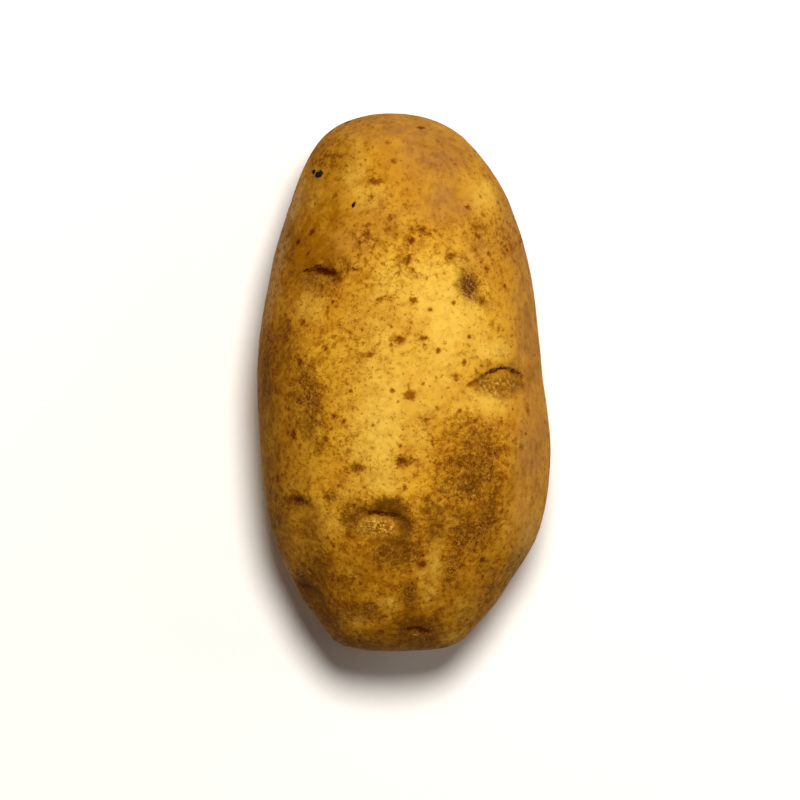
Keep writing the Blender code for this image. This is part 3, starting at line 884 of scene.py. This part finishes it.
GOLD = (0.61, 0.31, 0.021)
AMBER = (0.53, 0.24, 0.014)
# Pale skin, whose blue is partly a painted sheen on the crest.
PALE_GOLD_AND_SHEEN = (0.7, 0.426, 0.058)
# Ochre skin, and painted shade where it darkens the left flank and the rose end.
SHADE_AND_OCHRE_BROWN = (0.29, 0.106, 0.001)
FILM_TAN = (0.36, 0.16, 0.034)
RIM_LIGHT_TAN = (0.5, 0.285, 0.11)
SAND = (0.68, 0.4, 0.075)
NET_TAN = (0.62, 0.33, 0.045)
# Partly painted shade: the dark in the creases under the brows.
CREASE_SHADE_BROWN = (0.062, 0.007, 0.0005)
LIP_PINK = (0.52, 0.26, 0.07)
# Brown round the eyes, and painted shade beside the creases and at the rose end.
EYE_BROWN_AND_SHADE = (0.11, 0.035, 0.001)
BUD_BROWN = (0.2, 0.07, 0.003)
BUD_GOLD = (0.38, 0.19, 0.01)
GREEN_GREY = (0.11, 0.066, 0.007)
SOIL_BLACK = (0.012, 0.009, 0.008)
SCAB_BROWN = (0.1, 0.03, 0.002)
SCAB_GREY = (0.29, 0.155, 0.05)
# What cork multiplies the colour under it by, from wide stains to small flecks.
CLOUD_TINT = (0.76, 0.625, 0.41)
MOTTLE_TINT = (0.68, 0.575, 0.31)
STAIN_TINT = (0.66, 0.6, 0.36)
BLOTCH_TINT = (0.7, 0.595, 0.28)
FLECK_TINT = (0.56, 0.39, 0.07)
SPECK_TINT = (0.42, 0.25, 0.04)
LENTICEL_TINT = (0.48, 0.28, 0.08)

# What the layers share. shaken is the place, pushed about at random.
Fields = namedtuple("Fields", "place shaken broad cloud medium fine finest")


def shared_fields(n):
    """Scales of noise are per millimetre, here and in the layers."""
    place = n.vector_math("SCALE", n.add("ShaderNodeTexCoord").outputs["Object"], 1 / MM)
    jitter = n.noise(place, 1.4, 2, output="Color")
    jitter = n.vector_math("SUBTRACT", jitter, (0.5, 0.5, 0.5))
    shaken = n.vector_math("ADD", place, n.vector_math("SCALE", jitter, 0.9))
    return Fields(
        place=place,
        shaken=shaken,
        broad=n.noise(place, 0.1, 3, 0.55),
        cloud=n.noise(shaken, 0.3, 4, 0.6),
        medium=n.noise(shaken, 0.45, 2, 0.5),
        fine=n.noise(shaken, 0.85, 4, 0.6, 0.3),
        finest=n.noise(shaken, 1.6, 3, 0.55, 0.7),
    )


def ground(n, f):
    """Yellow skin with pale, brown and dusty regions, painted shade, a painted sheen and painted
    rim light, and how corky it is everywhere.
    """
    # Paler skin, with a painted sheen on the crest and painted rim light low on the flanks.
    pale = n.times(n.mark("pale"), n.step(f.cloud, 0.3, 0.6, 0.6, 1.1))
    # Browner skin, with painted shade on the left flank and towards the rose end.
    ochre_and_shade = n.times(n.mark("ochre_and_shade"), n.step(f.cloud, 0.62, 0.38, 0.55, 1.05))
    film = n.times(n.mark("film"), n.step(f.cloud, 0.35, 0.6, 0.6, 1.05))
    # Painted rim light and reflection along the flanks.
    rim_light = n.times(n.mark("rim_light"), n.step(f.fine, 0.62, 0.42, 0.15, 0.9))
    colour = n.lay(
        n.blend(n.step(f.broad, 0.36, 0.64), GOLD, AMBER),
        (pale, PALE_GOLD_AND_SHEEN),
        (ochre_and_shade, SHADE_AND_OCHRE_BROWN),
        (film, FILM_TAN),
        (rim_light, RIM_LIGHT_TAN),
    )

    # Faint streaks along the length in the dry film.
    drawn_out = n.vector_math("MULTIPLY", f.shaken, (1.0, 0.3, 1.0))
    streak = n.step(n.noise(drawn_out, 0.8, 3, 0.6), 0.42, 0.66)
    colour = n.tint(n.times(n.times(film, streak), 0.7), colour, CLOUD_TINT)

    cork = n.plus(n.mark("russet"), n.math("SUBTRACT", f.cloud, 0.5), 0.8)
    for part, share in ((pale, -0.3), (film, -0.3), (ochre_and_shade, 0.15), (n.mark("smooth"), -0.7)):
        cork = n.plus(cork, part, share)
    return colour, cork


def mottle(n, f, colour, cork):
    """Soft mottling, weaker on clean skin."""
    uneven = n.plus(n.times(f.medium, 0.4), f.fine, 0.35)
    uneven = n.plus(uneven, f.finest, 0.25)
    amount = n.step(cork, -0.7, 0.8, 0.3, 1.0)
    colour = n.tint(n.times(n.step(uneven, 0.34, 0.66), amount), colour, MOTTLE_TINT)
    return n.tint(n.times(n.step(f.medium, 0.44, 0.72), amount), colour, CLOUD_TINT)


def lay_cork(n, f, colour, cork):
    """Stains and flecks. How much cork there is decides how much of each noise counts."""
    stain = n.step(n.plus(f.cloud, cork, 0.42), 0.52, 0.98)
    blotch = n.step(n.plus(f.fine, cork, 0.16), 0.535, 0.7)
    fleck = n.step(n.plus(f.finest, cork, 0.11), 0.58, 0.67)
    green = n.times(n.mark("green"), n.step(f.fine, 0.4, 0.6, 0.5, 0.95))
    colour = n.tint(stain, colour, STAIN_TINT)
    colour = n.tint(n.times(blotch, 0.75), colour, BLOTCH_TINT)
    colour = n.blend(green, colour, GREEN_GREY)
    colour = n.tint(n.times(fleck, 0.62), colour, FLECK_TINT)

    # Short crooked strokes, and a net of paler skin between the flecks.
    ridge = n.off_middle(n.noise(f.place, 1.0, 3, 0.6, 0.8))
    where = n.plus(n.noise(f.place, 0.9, 2), cork, 0.12)
    stroke = n.times(n.step(ridge, 0.06, 0.012), n.step(where, 0.52, 0.62))
    colour = n.tint(n.times(stroke, 0.85), colour, FLECK_TINT)
    net = n.off_middle(n.noise(f.shaken, 1.15, 2, 0.5, 0.7))
    net = n.times(n.step(net, 0.032, 0.006), n.step(cork, 0.25, 0.9, 0.0, 0.5))
    colour = n.blend(net, colour, NET_TAN)

    # Single specks.
    distance, lot, size, depth = n.cells(f.shaken, 0.7)
    kept = n.math("LESS_THAN", lot, n.plus(0.24, cork, 0.3))
    inside = n.step(n.math("DIVIDE", distance, n.plus(0.12, size, 0.3)), 1.3, 0.4)
    speck = n.times(n.times(kept, inside), n.step(depth, 0, 1, 0.25, 0.9))
    return n.tint(speck, colour, SPECK_TINT), blotch, fleck, stroke


def lay_lenticels(n, f, colour):
    """Soft brown spots with crooked edges."""
    mark = n.mark("lenticel")
    crooked = n.step(n.noise(f.place, 1.3, 3, 0.6), 0.25, 0.75, 0.22, -0.22)
    blob = n.math("ADD", mark, crooked)
    near = n.step(mark, 0.02, 0.2)
    halo = n.times(n.step(blob, 0.0, 0.75), near)
    disc = n.times(n.step(blob, 0.18, 0.85), near)
    colour = n.tint(n.times(halo, 0.6), colour, BLOTCH_TINT)
    return n.tint(disc, colour, LENTICEL_TINT), disc


def lay_eyes(n, f, colour):
    """Granular skin over the buds, and dark creases under torn pale lips. The creases' dark and the
    brown bands beside them are partly painted shade.
    """
    ring = n.times(n.mark("ring"), n.step(f.fine, 0.35, 0.62, 0.25, 0.95))
    shade = n.times(n.mark("shade"), n.step(f.fine, 0.35, 0.62, 0.66, 1.1))
    grain = n.noise(f.place, 1.5, 3, 0.6, 0.7)
    bud = n.mark("bud")
    bright = n.times(bud, n.step(grain, 0.5, 0.68, 0.0, 0.75), clamp=True)
    dark = n.times(bud, n.step(grain, 0.56, 0.42, 0.0, 0.95), clamp=True)
    crease = n.times(n.mark("crease"), n.step(f.finest, 0.62, 0.4, 0.45, 1.15))
    lip = n.times(n.mark("lip"), n.step(f.finest, 0.42, 0.58, 0.0, 0.9))
    colour = n.lay(
        colour,
        (ring, EYE_BROWN_AND_SHADE),
        (shade, EYE_BROWN_AND_SHADE),
        (dark, BUD_BROWN),
        (bright, SAND),
        (n.mark("tip"), BUD_GOLD),
        (n.step(crease, 0.05, 1.0), CREASE_SHADE_BROWN),
        (lip, LIP_PINK),
    )
    return colour, bright, dark


def lay_scab_and_soil(n, f, colour):
    """A scab of fine flakes, the runner's scar, and the crumbs of soil."""
    scab = n.mark("scab")
    flake = n.noise(f.place, 2.1, 3, 0.6, 0.6)
    crust = n.times(scab, n.step(flake, 0.6, 0.46, 0.5, 1.25), clamp=True)
    grit = n.times(n.step(scab, 0.3, 0.7), n.step(flake, 0.53, 0.64, 0.0, 0.6))
    scar = n.times(n.mark("scar"), 0.85)
    soil = n.step(n.mark("soil"), 0.25, 0.5)
    layers = ((crust, SCAB_BROWN), (grit, SCAB_GREY), (scar, BUD_BROWN), (soil, SOIL_BLACK))
    return n.lay(colour, *layers), soil


def skin_material():
    """Thin yellow skin, waxy where it is clean, and dull on cork and soil."""
    material, n, shader = new_material("potato_skin")
    f = shared_fields(n)
    colour, cork = ground(n, f)
    colour = mottle(n, f, colour, cork)
    colour, blotch, fleck, stroke = lay_cork(n, f, colour, cork)
    colour, disc = lay_lenticels(n, f, colour)
    colour, bright, dark = lay_eyes(n, f, colour)
    colour, soil = lay_scab_and_soil(n, f, colour)
    n.feed(shader.inputs["Base Color"], colour)

    dull = n.plus(n.step(f.cloud, 0.3, 0.7, 0.54, 0.66), blotch, 0.12)
    n.feed(shader.inputs["Roughness"], n.plus(dull, soil, 0.4, clamp=True))
    shader.inputs["IOR"].default_value = 1.42
    shader.inputs["Specular IOR Level"].default_value = 0.02

    height = n.times(f.finest, 0.08)  # in millimetres
    parts = (f.fine, blotch, fleck, stroke, disc, bright, dark)
    for part, share in zip(parts, (0.12, 0.04, -0.02, -0.02, -0.05, 0.1, -0.05)):
        height = n.plus(height, part, share)
    bump = n.add("ShaderNodeBump", {"Height": height, "Distance": MM, "Strength": 0.8})
    n.feed(shader.inputs["Normal"], bump.outputs["Normal"])
    return material


# -------- floor, light and camera

FLOOR_HALF = 2.0
FLOOR_DROP = 0.0001
FLOOR_TONES = ((0.9, 0.885, 0.86), (0.93, 0.915, 0.89))
AMBIENT_COLOUR = (1.0, 0.985, 0.96, 1.0)
AMBIENT_STRENGTH = 0.085
Lamp = namedtuple("Lamp", "name place size power colour")
LAMPS = (
    Lamp("key", (0.08, 0.26, 1.0), 0.3, 12.5, (1.0, 0.97, 0.92)),
    Lamp("fill", (0.8, 0.2, 0.6), 0.6, 1.6, (1.0, 0.96, 0.9)),
)
CAMERA_DISTANCE = 4.0
SENSOR_WIDTH = 36
PICTURE_SPAN = 0.1784  # what the picture spans at the potato's middle
PICTURE_OFFSET = (-0.00087, -0.00396)  # of the picture's middle from the potato's


def make_floor():
    data = bpy.data.meshes.new("floor")
    corners = [(x * FLOOR_HALF, y * FLOOR_HALF, 0) for x, y in ((-1, -1), (1, -1), (1, 1), (-1, 1))]
    data.from_pydata(corners, [], [(0, 1, 2, 3)])
    material, n, shader = new_material("pale_floor")
    grain = n.noise(n.add("ShaderNodeTexCoord").outputs["Object"], 900.0, 3)
    n.feed(shader.inputs["Base Color"], n.blend(grain, *FLOOR_TONES))
    shader.inputs["Roughness"].default_value = 0.9
    shader.inputs["Specular IOR Level"].default_value = 0.2
    data.materials.append(material)
    floor = add_object("floor", data)
    floor.location.z = -FLOOR_DROP


def light_scene(target):
    """A soft key beyond the stem end, a weak fill on the right, and a little all round."""
    world = bpy.data.worlds.new("studio")
    world.use_nodes = True
    background = world.node_tree.nodes["Background"]
    background.inputs["Color"].default_value = AMBIENT_COLOUR
    background.inputs["Strength"].default_value = AMBIENT_STRENGTH
    bpy.context.scene.world = world
    for lamp in LAMPS:
        data = bpy.data.lights.new(lamp.name, "AREA")
        data.shape = "DISK"
        data.size = lamp.size
        data.energy = lamp.power
        data.color = lamp.colour
        light = add_object(lamp.name, data)
        light.location = lamp.place
        light.visible_camera = False
        light.rotation_mode = "QUATERNION"
        light.rotation_quaternion = (target - light.location).to_track_quat("-Z", "Y")
    bpy.context.scene.view_settings.view_transform = "Standard"


def place_camera(target):
    """Straight above, so that the picture's up is +Y."""
    data = bpy.data.cameras.new("camera")
    data.sensor_width = SENSOR_WIDTH
    data.lens = SENSOR_WIDTH * CAMERA_DISTANCE / PICTURE_SPAN
    camera = add_object("camera", data)
    right, up = PICTURE_OFFSET
    camera.location = (target.x + right, target.y + up, target.z + CAMERA_DISTANCE)
    bpy.context.scene.camera = camera


# -------- the scene

skin = build_skin()
skin.data.materials.append(skin_material())
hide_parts("potato")
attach(skin, "root")

low_corner, high_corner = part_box("potato")
potato_middle = (low_corner + high_corner) / 2
make_floor()
light_scene(potato_middle)
place_camera(potato_middle)
